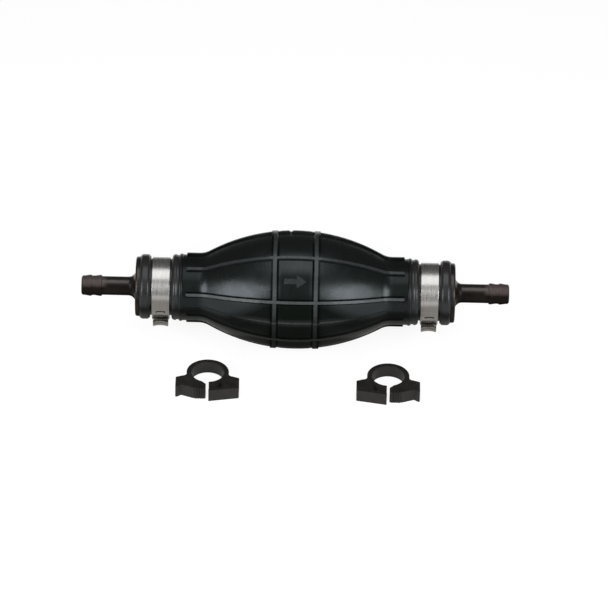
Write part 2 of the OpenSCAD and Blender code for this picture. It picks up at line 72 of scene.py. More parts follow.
# Bulb
BULB_FACETS = 64
BELLY_R = 29.2 * MM
BELLY_ARC_R = 88 * MM
WALL = 3 * MM
NECK_R = 16.5 * MM
NECK_FILLET = 10 * MM
RIBS = 8
RIB_BASE = 2.6 * MM
RIB_TOP = 1.5 * MM
RIB_H = 1 * MM
NECK_RIB_H = 1.2 * MM
RIB_END = 54.3 * MM
RIB_EDGE = 0.3 * MM
# Where the ribs' crests have come down to their height on the neck
RIB_LEVEL_X = 48 * MM
RING_X = 10.2 * MM
RING_BASE = 3.6 * MM
RING_TOP = 1.9 * MM
RING_R = 29.5 * MM
# Every third ring of points on the belly lies under a ring rib
STATION = RING_X / 3
STATIONS = 12
NECK_STATIONS = (50 * MM, 52.2 * MM)
# Points this far below the skin still belong to it
SKIN_DEPTH = 0.6 * MM
NOTCH_X = -2.6 * MM
NOTCH_W = 2 * MM
NOTCH_FLOOR = 0.15 * MM
PARTING_W = 0.8 * MM
PARTING_H = 0.3 * MM
PARTING_TAPER = 0.4
ARROW_AT = 47
ARROW_LEN = 11 * MM
ARROW_W = 6.4 * MM
HEAD_LEN = 4.8 * MM
SHAFT_W = 2.6 * MM
ARROW_H = 0.45 * MM
INNER_BEAD = (57 * MM, 15.7 * MM, 1.2 * MM)
STOP_BEAD = (60 * MM, 14.9 * MM, 1.6 * MM)
END_BEADS = ((73.97 * MM, 14.6 * MM, 1.6 * MM), (75.88 * MM, 14.6 * MM, 1.6 * MM))
GROOVE_R = 16.1 * MM
BAND_SEAT_R = 14.15 * MM
BAND_SEAT = (61.6 * MM, 72.35 * MM)
BORE_R = 11 * MM
BORE_END = 57 * MM

# End fittings
FITTING_FACETS = 72
PASSAGE_R = 3 * MM
TIP_R = 4.2 * MM
VALLEY_R = 4.9 * MM
RIDGE_R = 5.3 * MM
STEM_R = 4.7 * MM
FLARE_R = 3.8 * MM
FLANGE_T = 2.2 * MM
FLANGE_ROUND = 0.9 * MM
SPIGOT_R = 10.4 * MM
POCKET_R = 8.5 * MM
POCKET_FLOOR = 72.5 * MM
SEAT_HOLE_R = 4 * MM
FIRST_RIDGE = 4.5 * MM
RIDGE_PITCH = 5 * MM
RIDGE_LAND = 0.8 * MM
RIDGE_RAMP = 2.4 * MM
RIDGE_DROP = 0.5 * MM
TIP_CHAMFER = 0.7 * MM

# Neck clamps
BAND_FACETS = 96
BAND_T = 0.7 * MM
BAND_W = 8.75 * MM
BAND_R = BAND_SEAT_R + BAND_T
EAR_W = 7.6 * MM
EAR_H = 4.95 * MM
EAR_ROUND = 1.5 * MM
EAR_HALF = 3.2 * MM
WAIST_HALF = 1.9 * MM
EAR_AT = 145
EAR_DIP = 0.55 * MM
# Within this turn from the ear's middle, and over this rise, the strip narrows to EAR_W
EAR_TURN = 16
EAR_TAPER = 1 * MM
# Above the band, the dip in the ear grows to its full depth over this rise
EAR_RISE = 2 * MM
# The strip's end is worked down against the band: turn from the ear, and share of BAND_T sunk
LAP_END = ((50, 0.97), (47, 0.8), (44, 0.52), (41, 0.24), (38.5, 0.06))
LAP_START = 17
WINDOW_W = 4.6 * MM
WINDOW_LEN = 1.5 * MM
WINDOW_TURNS = (22, 35)
HOOK_CLEAR = 0.35 * MM
HOOK_H = 0.35 * MM

# Hose clips, in millimetres
BORE = 8.2
BOW = 10.5
JAW_GAP = 1.4
JAW_REACH = 15.75
JAW_BACK = 4.6
JAW_FILLET = 2
JAW_ROOT = 1.3
SLOT_IN = 10
SLOT_OUT = 14.25
SLOT_TO = 43
TONGUE_R = 14
TONGUE_LEAD = 0.4
FORK_FRONT = 15.7
FORK_SLOPE = 3
GRIP_HOLLOW = 3
GRIP_IN = 2.85
GRIP_RUN = 6
GRIP_RISE = 1.2
LIP_H = 1.5
LIP_W = 1
RAMP_AT = 20
CORNER_ROUND = 0.5
TEETH = 5
TOOTH_PITCH = 1.2
TOOTH_H = 0.55

# Valve springs
SPRING_TURNS = 4
SPRING_WIRE_R = 0.3 * MM

# Places that the frame gives
outlet_low, outlet_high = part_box("outlet_fitting")
clamp_low, clamp_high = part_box("outlet_neck_clamp")
AXIS_Y = (outlet_low[1] + outlet_high[1]) / 2
AXIS_Z = (outlet_low[2] + outlet_high[2]) / 2
FLANGE_R = (outlet_high[2] - outlet_low[2]) / 2
TIP_X = outlet_high[0]
SPIGOT_END = outlet_low[0]
BULB_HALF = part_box("bulb")[1][0]
BAND_X = (clamp_low[0] + clamp_high[0]) / 2
FLOOR_Z = cad_box[0][2]


# ---------------------------------------------------------------- modelling helpers

def leave_edit():
    if bpy.context.mode != "OBJECT":
        bpy.ops.object.mode_set(mode="OBJECT")


def choose(*pieces):
    """In object mode, selects these pieces and no others, and makes the first one active."""
    leave_edit()
    bpy.ops.object.select_all(action="DESELECT")
    for piece in pieces:
        piece.select_set(True)
        bpy.context.view_layer.objects.active = pieces[0]


def edit_all():
    """Puts the active piece in edit mode, all of it selected."""
    bpy.ops.object.mode_set(mode="EDIT")
    bpy.ops.mesh.select_all(action="SELECT")


def start_point(name, point):
    """A new piece in edit mode, one selected vertex at point."""
    choose()
    bpy.ops.mesh.primitive_plane_add(size=MM, location=(0, 0, 0))
    piece = bpy.context.object
    piece.name = piece.data.name = name
    bpy.ops.object.mode_set(mode="EDIT")
    bpy.ops.mesh.select_mode(type="VERT")
    bpy.ops.mesh.select_all(action="SELECT")
    bpy.ops.mesh.merge(type="CENTER")
    bpy.ops.transform.translate(value=point)
    return piece


def draw_line(points):
    """Extrudes the selected vertex, the first of points, from point to point."""
    for here, there in zip(points, points[1:]):
        step = Vector(there) - Vector(here)
        bpy.ops.mesh.extrude_region_move(TRANSFORM_OT_translate={"value": step})


def pick(kind, test):
    """In edit mode, selects the verts, edges or faces that pass a test, and nothing else."""
    bpy.ops.mesh.select_mode(type=kind)
    bpy.ops.mesh.select_all(action="DESELECT")
    shape = bmesh.from_edit_mesh(bpy.context.object.data)
    for part in {"VERT": shape.verts, "EDGE": shape.edges, "FACE": shape.faces}[kind]:
        if test(part):
            part.select_set(True)
    bmesh.update_edit_mesh(bpy.context.object.data)


def close_up(doubles=TOUCHING):
    bpy.ops.mesh.select_all(action="SELECT")
    bpy.ops.mesh.remove_doubles(threshold=doubles)
    bpy.ops.mesh.normals_make_consistent(inside=False)


def on_pump(x, r, phi=0.0):
    """A point at radius r from the pump's axis, phi degrees from the top towards the front."""
    a = math.radians(phi)
    return Vector((x, AXIS_Y - r * math.sin(a), AXIS_Z + r * math.cos(a)))


def polar(point):
    """(x, radius, phi) of a point, as on_pump takes them."""
    y, z = AXIS_Y - point[1], point[2] - AXIS_Z
    return point[0], math.hypot(y, z), math.degrees(math.atan2(y, z))


def arc(centre, radius, start, end, steps):
    """Points on an arc of a flat outline, from one angle to another, in degrees."""
    turns = [math.radians(start + (end - start) * i / steps) for i in range(steps + 1)]
    return [(centre[0] + radius * math.cos(a), centre[1] + radius * math.sin(a)) for a in turns]


def lathe(name, profile, facets):
    """Turns a closed profile of (x, radius) points about the axis, and stays in edit mode."""
    points = [on_pump(x, r) for x, r in profile + profile[:1]]
    piece = start_point(name, points[0])
    draw_line(points)
    bpy.ops.mesh.select_all(action="SELECT")
    middle = (0, AXIS_Y, AXIS_Z)
    bpy.ops.mesh.spin(steps=facets, angle=math.tau, center=middle, axis=(1, 0, 0))
    close_up()
    return piece


def apply_modifiers(piece):
    leave_edit()
    bpy.context.view_layer.objects.active = piece
    for modifier in list(piece.modifiers):
        bpy.ops.object.modifier_apply(modifier=modifier.name)


def soften(piece, width, segments=2, angle=30):
    """Rounds every edge sharper than angle, and shades the piece smooth."""
    leave_edit()
    bevel = piece.modifiers.new("soft edges", "BEVEL")
    bevel.width, bevel.segments = width, segments
    bevel.limit_method, bevel.angle_limit = "ANGLE", math.radians(angle)
    bevel.use_clamp_overlap = True
    apply_modifiers(piece)
    smooth(piece)


def smooth(piece, angle=35):
    choose(piece)
    bpy.ops.object.shade_smooth_by_angle(angle=math.radians(angle))


def join(name, pieces):
    choose(*pieces)
    bpy.ops.object.join()
    pieces[0].name = pieces[0].data.name = name
    return pieces[0]


def mirrored(piece, name):
    """A copy for the other end of the pump, with its own mesh."""
    choose(piece)
    bpy.ops.object.duplicate()
    twin = bpy.context.object
    twin.name = twin.data.name = name
    edit_all()
    bpy.ops.transform.resize(value=(-1, 1, 1), center_override=(0, 0, 0))
    bpy.ops.mesh.normals_make_consistent(inside=False)
    leave_edit()
    return twin


# ---------------------------------------------------------------- bulb

def belly(x, grow=0.0):
    """Radius at x of the belly's arc, or of an arc that lies grow outside it."""
    arc_r = BELLY_ARC_R + grow
    return BELLY_R - BELLY_ARC_R + math.sqrt(arc_r * arc_r - x * x)


def neck_start(neck_r, grow=0.0):
    """Where the belly's arc meets the neck's fillet: x, radius, and the fillet's middle x."""
    arc_r = BELLY_ARC_R + grow
    low = BELLY_R - BELLY_ARC_R
    up = neck_r + NECK_FILLET - low
    middle_x = math.sqrt((arc_r + NECK_FILLET) ** 2 - up * up)
    share = arc_r / (arc_r + NECK_FILLET)
    return middle_x * share, low + up * share, middle_x


def neck_fillet(neck_r, grow=0.0):
    x, r, middle_x = neck_start(neck_r, grow)
    start = math.degrees(math.atan2(r - neck_r - NECK_FILLET, x - middle_x)) % 360
    return arc((middle_x, neck_r + NECK_FILLET), NECK_FILLET, start, 270, 4)


def bead(form, from_r, to_r):
    """Arc over a bead, from the radius where it starts to the radius where it ends."""
    x, r, round_r = form
    start = 180 - math.degrees(math.asin(min((from_r - r) / round_r, 1)))
    end = math.degrees(math.asin(min((to_r - r) / round_r, 1)))
    return arc((x, r), round_r, start, end, 8)


def half_bulb_outside():
    """The outer profile from beyond the middle to the outlet end."""
    stations = [k * STATION for k in range(1, STATIONS + 1)]
    seat_from, seat_to = BAND_SEAT
    first, last = END_BEADS
    ledge_r = first[1] + first[2] / 2
    top_r = first[1] + first[2]
    return ([(x, belly(x)) for x in stations] + neck_fillet(NECK_R)
            + [(x, NECK_R) for x in (*NECK_STATIONS, RIB_END)]
            + bead(INNER_BEAD, NECK_R, GROOVE_R) + bead(STOP_BEAD, GROOVE_R, STOP_BEAD[1])
            + [(seat_from, BAND_SEAT_R), (seat_to, BAND_SEAT_R), (seat_to, ledge_r)]
            + bead(first, ledge_r, top_r)[:-1] + bead(last, top_r, ledge_r)
            + [(BULB_HALF, ledge_r)])


def half_bulb_inside():
    """The inner profile from the outlet end to the middle."""
    neck_in_r = NECK_R - WALL
    taper_x = BORE_END - neck_in_r + BORE_R
    stations = [k * STATION for k in range(STATIONS, 0, -2)]
    return ([(BULB_HALF, BORE_R), (BORE_END, BORE_R), (taper_x, neck_in_r)]
            + neck_fillet(neck_in_r, -WALL)[::-1] + [(x, belly(x, -WALL)) for x in stations])


def off_rib(point):
    """Signed distance of a point from the middle plane of the nearest lengthwise rib."""
    r, phi = polar(point)[1:]
    pitch = 360 / RIBS
    return r * math.sin(math.radians((phi % pitch) - pitch / 2))


def off_ring(point):
    """Signed distance along the pump from the middle of the nearer ring rib."""
    return point[0] - math.copysign(RING_X, point[0])


def crest_r(x):
    """Radius of a lengthwise rib's crest."""
    x = abs(x)
    start_x = neck_start(NECK_R)[0]
    if x < start_x:
        return belly(x) + RIB_H
    neck_crest = NECK_R + NECK_RIB_H
    share = min((x - start_x) / (RIB_LEVEL_X - start_x), 1)
    return neck_crest + (belly(start_x) + RIB_H - neck_crest) * (1 - share) ** 2


def is_outside(point):
    """Whether a point is on the outer skin, between the ends of the ribs."""
    x, r = polar(point)[:2]
    return abs(x) < RIB_END + 0.1 * MM and r > max(NECK_R, belly(x)) - SKIN_DEPTH


def in_notch(point):
    return abs(point[0] - NOTCH_X) < NOTCH_W / 4 and abs(polar(point)[2] + 180 / RIBS) < 5


def cut_strips(test, width):
    """Turns each lengthwise or ring edge that passes a test into a strip of one width."""
    pick("EDGE", lambda e: all(is_outside(v.co) and test(v.co) for v in e.verts))
    bpy.ops.mesh.bevel(offset_type="OFFSET", offset=width / 2, segments=1, affect="EDGES")


def raise_ribs():
    """Cuts strips into the skin along the ribs' middles, pulls them out and slopes their sides."""
    cut_strips(lambda p: abs(off_rib(p)) < NEAR, RIB_BASE)
    cut_strips(lambda p: abs(off_ring(p)) < NEAR, RING_BASE)

    def in_strip(face):
        middle = face.calc_center_median()
        in_ring = abs(off_ring(middle)) < RING_BASE / 2 - NEAR
        in_rib = abs(off_rib(middle)) < RIB_BASE / 2 - NEAR
        before_end = max(abs(v.co.x) for v in face.verts) < RIB_END + NEAR
        return is_outside(middle) and (in_ring or in_rib) and before_end

    pick("FACE", in_strip)
    bpy.ops.mesh.extrude_region_shrink_fatten(TRANSFORM_OT_shrink_fatten={"value": RIB_H})
    shape = bmesh.from_edit_mesh(bpy.context.object.data)
    for vert in shape.verts:
        if not vert.select:
            continue
        x, r, phi = polar(vert.co)
        aside, along = off_rib(vert.co), off_ring(vert.co)
        if abs(aside) < RIB_BASE / 2 + 2 * NEAR:
            phi -= math.degrees(math.copysign(RIB_BASE - RIB_TOP, aside) / 2 / r)
        if abs(along) < RING_BASE / 2 + 2 * NEAR:
            x -= math.copysign(RING_BASE - RING_TOP, along) / 2
            vert.co = on_pump(x, RING_R, phi)
        elif in_notch(vert.co):
            vert.co = on_pump(x, belly(x) + NOTCH_FLOOR, phi)
        else:
            vert.co = on_pump(x, crest_r(x), phi)
    bmesh.update_edit_mesh(bpy.context.object.data)


def round_rib_ends():
    """Rounds the ends of the lengthwise ribs as seen from above."""
    def is_corner(edge):
        inner, outer = sorted((polar(v.co) for v in edge.verts), key=lambda p: p[1])
        at_end = all(abs(abs(p[0]) - RIB_END) < 0.05 * MM for p in (inner, outer))
        return at_end and outer[1] - inner[1] > NECK_RIB_H / 2

    pick("EDGE", is_corner)
    nearly_half = 0.49 * RIB_TOP
    bpy.ops.mesh.bevel(offset_type="OFFSET", offset=nearly_half, segments=4, affect="EDGES")


def is_sharp(edge, angle):
    return len(edge.link_faces) == 2 and edge.calc_face_angle(0) > math.radians(angle)


def round_rib_edges():
    """Rounds the crests and roots of the ribs, as they leave the mould."""
    pick("EDGE", lambda e: is_sharp(e, 25) and all(is_outside(v.co) for v in e.verts)
         and (abs(e.verts[0].co.x) < RIB_END + 0.05 * MM))
    bpy.ops.mesh.bevel(offset_type="OFFSET", offset=RIB_EDGE, segments=3, affect="EDGES",
                       clamp_overlap=True)


def raise_parting_line():
    """The fine ridge that the joint of the mould leaves along both sides of the bulb."""
    def on_parting(point, reach):
        turn = abs(abs(polar(point)[2]) - 90)
        beside_ring = abs(off_ring(point)) > RING_BASE / 2 - NEAR
        return is_outside(point) and turn < reach and beside_ring

    pick("EDGE", lambda e: all(on_parting(v.co, 0.1) for v in e.verts))
    bpy.ops.mesh.bevel(offset_type="OFFSET", offset=PARTING_W / 2, segments=1, affect="EDGES")
    pick("FACE", lambda f: on_parting(f.calc_center_median(), 0.1)
         and all(on_parting(v.co, 2) for v in f.verts))
    bpy.ops.mesh.extrude_region_shrink_fatten(TRANSFORM_OT_shrink_fatten={"value": PARTING_H})
    bpy.ops.transform.resize(value=(1, 1, PARTING_TAPER), center_override=(0, AXIS_Y, AXIS_Z))


def make_bulb():
    outside = half_bulb_outside()
    inside = half_bulb_inside()
    notch = [(x, belly(x)) for x in (NOTCH_X - NOTCH_W / 2, NOTCH_X, NOTCH_X + NOTCH_W / 2)]
    left = [(-x, r) for x, r in outside[::-1]]
    left[-1:] = notch
    profile = (left + [(0, BELLY_R)] + outside + inside + [(0, BELLY_R - WALL)]
               + [(-x, r) for x, r in inside[::-1]])
    piece = lathe("primer_bulb", profile, BULB_FACETS)
    raise_ribs()
    round_rib_ends()
    round_rib_edges()
    raise_parting_line()
    close_up()
    smooth(piece, 40)
    # The ring ribs rest flat, and nothing stands out of the solids' box
    for vert in piece.data.vertices:
        vert.co.y = min(vert.co.y, cad_box[1][1])
        vert.co.z = min(max(vert.co.z, FLOOR_Z), cad_box[1][2])
    return piece


def make_flow_arrow():
    """The raised arrow on the front panel, which shows which way the fuel goes."""
    parts = []
    shaft_len = ARROW_LEN - HEAD_LEN
    for start_x, length, width, tapers in ((0, shaft_len, SHAFT_W, False),
                                           (shaft_len, HEAD_LEN, ARROW_W, True)):
        choose()
        bpy.ops.mesh.primitive_grid_add(x_subdivisions=12, y_subdivisions=10, size=1)
        part = bpy.context.object
        edit_all()
        bpy.ops.transform.resize(value=(length, width, 1))
        bpy.ops.transform.translate(value=(start_x + (length - ARROW_LEN) / 2, 0, 0))
        leave_edit()
        for vert in part.data.vertices:
            x, across = vert.co.x, vert.co.y
            if tapers:
                across *= (ARROW_LEN / 2 - x) / HEAD_LEN
            r = belly(x)
            vert.co = on_pump(x, r, ARROW_AT - math.degrees(across / r))
        parts.append(part)
    piece = join("flow_arrow", parts)
    bpy.ops.object.mode_set(mode="EDIT")
    close_up(NEAR)
    shape = bmesh.from_edit_mesh(piece.data)
    out = Vector((0, -math.sin(math.radians(ARROW_AT)), math.cos(math.radians(ARROW_AT))))
    if sum(face.normal.dot(out) for face in shape.faces) < 0:
        bpy.ops.mesh.flip_normals()
    leave_edit()
    wall = piece.modifiers.new("raised", "SOLIDIFY")
    wall.thickness, wall.offset = 2 * ARROW_H, 0
    apply_modifiers(piece)
    soften(piece, 0.1 * MM, 2, 40)
    return piece


# ---------------------------------------------------------------- end fittings

def make_outlet_fitting():
    """Barb, flange and spigot, turned in one piece, with the passage and the valve's pocket."""
    flange_x = BULB_HALF + FLANGE_T
    profile = [(TIP_X, TIP_R), (TIP_X - TIP_CHAMFER, VALLEY_R)]
    for k in range(2):
        x = TIP_X - FIRST_RIDGE - k * RIDGE_PITCH
        half = RIDGE_LAND / 2
        behind_r = STEM_R if k else VALLEY_R
        profile += [(x + half + RIDGE_RAMP, VALLEY_R), (x + half, RIDGE_R), (x - half, RIDGE_R),
                    (x - half - RIDGE_DROP, behind_r)]
    profile += arc((flange_x + FLARE_R, STEM_R + FLARE_R), FLARE_R, 270, 180, 8)
    profile += arc((flange_x - FLANGE_ROUND, FLANGE_R - FLANGE_ROUND), FLANGE_ROUND, 0, 90, 6)
    profile += [(BULB_HALF, FLANGE_R), (BULB_HALF, SPIGOT_R),
                (SPIGOT_END, SPIGOT_R), (SPIGOT_END, POCKET_R), (POCKET_FLOOR, POCKET_R),
                (POCKET_FLOOR, SEAT_HOLE_R), (flange_x, PASSAGE_R), (TIP_X, PASSAGE_R)]
    piece = lathe("outlet_barb_fitting", profile, FITTING_FACETS)
    soften(piece, 0.3 * MM, 3, 12)
    return piece


# ---------------------------------------------------------------- neck clamps

def ear_path():
    """Middle line of the clamp's outer strip, as (across, out) from the axis with the ear up."""
    half_t = BAND_T / 2
    lap_r, ring_r = BAND_R + half_t, BAND_R - half_t
    start_a = math.degrees(math.asin((WAIST_HALF + EAR_ROUND) / lap_r))
    edges = []
    for turn in WINDOW_TURNS:
        reach = math.degrees(WINDOW_LEN / 2 / lap_r)
        edges += [turn - reach, turn + reach]
    lap = [*LAP_END] + [(turn, 0) for turn in sorted(edges, reverse=True) + [LAP_START, start_a]]
    line = []
    for turn, share in lap:
        r, a = lap_r - share * BAND_T, math.radians(turn)
        line.append((r * math.sin(a), r * math.cos(a)))
    top = BAND_R + EAR_H - half_t
    round_r = EAR_ROUND - half_t
    lobe = (EAR_HALF - EAR_ROUND, top - round_r)
    waist = WAIST_HALF - half_t
    side = arc((waist + EAR_ROUND, BAND_R + EAR_ROUND + half_t), EAR_ROUND, 260, 180, 4)
    side += arc(lobe, round_r, -35, 90, 6)
    line += side
    line += [(-x, y) for x, y in side[::-1]]
    # On the other side the strip goes on as the band
    for turn in (start_a, start_a + 6, start_a + 12):
        a = math.radians(turn)
        line.append((-ring_r * math.sin(a), ring_r * math.cos(a)))
    return line


def ear_place(x, across, out):
    """A point of the clamp as drawn with its ear up, turned to the ear's place."""
    a = math.radians(EAR_AT)
    toward = Vector((0, -math.cos(a), -math.sin(a)))
    outward = Vector((0, -math.sin(a), math.cos(a)))
    middle = Vector((x, AXIS_Y, AXIS_Z))
    return middle + outward * out - toward * across


def make_ear_strip():
    line = ear_path()
    sides = [-BAND_W / 2, *(WINDOW_W * k / 4 for k in range(-2, 3)), BAND_W / 2]
    points = [ear_place(BAND_X + sides[0], a, o) for a, o in line]
    piece = start_point("outlet_ear", points[0])
    draw_line(points)
    bpy.ops.mesh.select_all(action="SELECT")
    for here, there in zip(sides, sides[1:]):
        bpy.ops.mesh.extrude_region_move(TRANSFORM_OT_translate={"value": (there - here, 0, 0)})

    def drawn(point):
        """(across, out, turn from the ear) of a point."""
        r, phi = polar(point)[1:]
        turn = math.radians(EAR_AT - phi)
        return r * math.sin(turn), r * math.cos(turn), math.degrees(turn)

    def in_window(face):
        middle = face.calc_center_median()
        near_window = any(abs(drawn(middle)[2] - turn) < 2 for turn in WINDOW_TURNS)
        return abs(middle.x - BAND_X) < WINDOW_W / 2 and near_window

    pick("FACE", in_window)
    bpy.ops.mesh.delete(type="FACE")
    shape = bmesh.from_edit_mesh(piece.data)
    for vert in shape.verts:
        across, out, turn = drawn(vert.co)
        above = max(out - BAND_R - BAND_T, 0)
        rise = min(above / EAR_RISE, 1)
        off = vert.co.x - BAND_X
        if abs(turn) < EAR_TURN:
            off *= 1 + (EAR_W / BAND_W - 1) * min(above / EAR_TAPER, 1)
        dip = EAR_DIP * rise ** 2 * (1 - (2 * off / EAR_W) ** 2) if out > BAND_R + EAR_H / 2 else 0
        vert.co = ear_place(BAND_X + off, across, out - dip)
    bmesh.update_edit_mesh(piece.data)
    close_up()
    leave_edit()
    wall = piece.modifiers.new("strip", "SOLIDIFY")
    wall.thickness, wall.offset, wall.use_even_offset = BAND_T, 0, True
    apply_modifiers(piece)
    bpy.ops.object.mode_set(mode="EDIT")
    close_up()
    soften(piece, 0.1 * MM, 2, 35)
    return piece


def make_hooks():
    """Tabs of the inner layer that stand through the windows."""
    hooks = []
    for turn in WINDOW_TURNS:
        choose()
        bpy.ops.mesh.primitive_cube_add(size=1)
        hook = bpy.context.object
        edit_all()
        height = 1.5 * BAND_T + HOOK_H
        width, length = WINDOW_W - 2 * HOOK_CLEAR, WINDOW_LEN - 2 * HOOK_CLEAR
        bpy.ops.transform.resize(value=(width, length, height))
        bpy.ops.transform.translate(value=(BAND_X, 0, BAND_R - BAND_T / 2 + height / 2))
        bpy.ops.transform.rotate(value=math.radians(turn - EAR_AT), orient_axis="X",
                                 center_override=(0, 0, 0))
        bpy.ops.transform.translate(value=(0, AXIS_Y, AXIS_Z))
        hooks.append(hook)
        soften(hook, 0.12 * MM, 2)
    return hooks


def make_outlet_clamp():
    half = BAND_W / 2
    profile = [(BAND_X - half, BAND_SEAT_R), (BAND_X + half, BAND_SEAT_R), (BAND_X + half, BAND_R),
               (BAND_X - half, BAND_R)]
    ring = lathe("outlet_ear_clamp", profile, BAND_FACETS)
    soften(ring, 0.1 * MM, 2)
    return join("outlet_ear_clamp", [ring, make_ear_strip()] + make_hooks())


# ---------------------------------------------------------------- hose clips

def polar_xy(radius, angle):
    """A point in front of the clip's middle, angle degrees round from the front to the fork."""
    a = math.radians(angle)
    return radius * math.sin(a), -radius * math.cos(a)


def turned_xy(x, y, angle):
    a = math.radians(angle)
    return x * math.cos(a) - y * math.sin(a), x * math.sin(a) + y * math.cos(a)


def rounded(points):
    """An open outline whose inner corners are rounded, in four steps each."""
    out = [points[0]]
    for before, corner, after in zip(points, points[1:], points[2:]):
        corner = Vector(corner)
        ends = []
        for other in (before, after):
            way = Vector(other) - corner
            ends.append(corner + way * min(CORNER_ROUND / way.length, 0.45))
        for t in (0, 0.25, 0.5, 0.75, 1):
            out.append(tuple(ends[0] * (1 - t) ** 2 + corner * 2 * t * (1 - t) + ends[1] * t ** 2))
    return out + [points[-1]]


def clip_outline():
    """One closed line round the clip, in millimetres, its fork at +x and its tongue at -x."""
    gap = JAW_GAP / 2
    fillet_x = math.sqrt((BOW + JAW_FILLET) ** 2 - JAW_ROOT ** 2)
    bore = arc((0, 0), BORE, math.degrees(math.asin(gap / BORE)) - 90, 270 - RAMP_AT, 56)
    rack_y = TOOTH_H - TONGUE_R
    tongue = [(-gap, -SLOT_IN), (-gap, rack_y)]
    for k in range(TEETH - 1):
        x = -gap - TONGUE_LEAD - k * TOOTH_PITCH
        tongue += [(x, rack_y), (x - TOOTH_PITCH, -TONGUE_R), (x - TOOTH_PITCH, rack_y)]
    hollow_x, hollow_y = GRIP_IN - JAW_REACH, GRIP_HOLLOW - TONGUE_R
    grip = [tongue[-1], (hollow_x + GRIP_RUN, rack_y),
            (hollow_x + GRIP_RUN / 2, hollow_y - GRIP_RISE), (hollow_x, hollow_y),
            (LIP_W - JAW_REACH, hollow_y - LIP_H), (-JAW_REACH, hollow_y - LIP_H),
            (-JAW_REACH, -JAW_BACK), (-fillet_x, -JAW_ROOT - JAW_FILLET)]
    tongue += rounded(grip)[1:]
    foot = math.degrees(math.atan2(JAW_ROOT, fillet_x))
    tongue += arc((-fillet_x, -JAW_ROOT), JAW_FILLET, 270, 360 + foot, 8)[1:]
    bow = arc((0, 0), BOW, 180 + foot, -foot, 56)[1:-1]
    fork = arc((fillet_x, -JAW_ROOT), JAW_FILLET, 180 - foot, 270, 8)
    fork += rounded([fork[-1], (JAW_REACH, -JAW_BACK), (JAW_REACH, FORK_SLOPE - FORK_FRONT),
                     (gap, -FORK_FRONT), (gap, -math.sqrt(SLOT_OUT ** 2 - gap ** 2))])[1:]
    turn = math.degrees(TOOTH_PITCH / TONGUE_R)
    for k in range(TEETH):
        at = turn * (k + 2)
        fork += [polar_xy(SLOT_OUT, at), turned_xy(TOOTH_PITCH, TOOTH_H - SLOT_OUT, at),
                 turned_xy(TOOTH_PITCH, -SLOT_OUT, at)]
    fork += [polar_xy(SLOT_OUT, a) for a in (36, 40, SLOT_TO)]
    fork += [polar_xy(SLOT_IN, a) for a in range(SLOT_TO, 5, -3)]
    fork += [(gap, -math.sqrt(SLOT_IN ** 2 - gap ** 2))]
    return bore + tongue + bow + fork


def make_clip():
    low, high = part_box("left_hose_clip")
    middle = Vector(((low[0] + high[0]) / 2, high[1] - BOW * MM, low[2]))
    points = [middle + Vector((x * MM, y * MM, 0)) for x, y in clip_outline()]
    piece = start_point("left_ratchet_clip", points[0])
    draw_line(points + points[:1])
    bpy.ops.mesh.select_all(action="SELECT")
    bpy.ops.mesh.remove_doubles(threshold=TOUCHING)
    bpy.ops.mesh.edge_face_add()
    bpy.ops.mesh.extrude_region_move(TRANSFORM_OT_translate={"value": (0, 0, high[2] - low[2])})
    bpy.ops.mesh.select_all(action="SELECT")
    bpy.ops.mesh.normals_make_consistent(inside=False)
    soften(piece, 0.22 * MM, 3, 30)
    return piece


def other_clip(clip):
    """The same clip with its fork on the other side, where the frame puts the right one."""
    twin = mirrored(clip, "right_ratchet_clip")
    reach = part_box("right_hose_clip")[0][0] - min(v.co.x for v in twin.data.vertices)
    for vert in twin.data.vertices:
        vert.co.x += reach
    return twin


# ---------------------------------------------------------------- valve springs

def make_spring(name, node):
    """One helix of wire between the poppet's head and the cage's hub."""
    low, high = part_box(node)
    coil_r = (high[1] - low[1]) / 2 - SPRING_WIRE_R
    choose()
    bpy.ops.mesh.primitive_circle_add(vertices=10, radius=SPRING_WIRE_R)
    piece = bpy.context.object
    piece.name = piece.data.name = name
    edit_all()
    bpy.ops.transform.translate(value=(low[0] + SPRING_WIRE_R, 0, coil_r))
    leave_edit()
    screw = piece.modifiers.new("coil", "SCREW")
    screw.axis, screw.iterations = "X", SPRING_TURNS
    screw.screw_offset = (high[0] - low[0] - 2 * SPRING_WIRE_R) / SPRING_TURNS
    screw.steps = screw.render_steps = 24
    screw.use_merge_vertices = False
    apply_modifiers(piece)
    edit_all()
    bpy.ops.transform.translate(value=(0, AXIS_Y, AXIS_Z))
    bpy.ops.mesh.select_mode(type="EDGE")
    bpy.ops.mesh.select_all(action="DESELECT")
    bpy.ops.mesh.select_non_manifold()
    bpy.ops.mesh.fill()
    close_up()
    smooth(piece, 60)
    return piece


# ---------------------------------------------------------------- materials

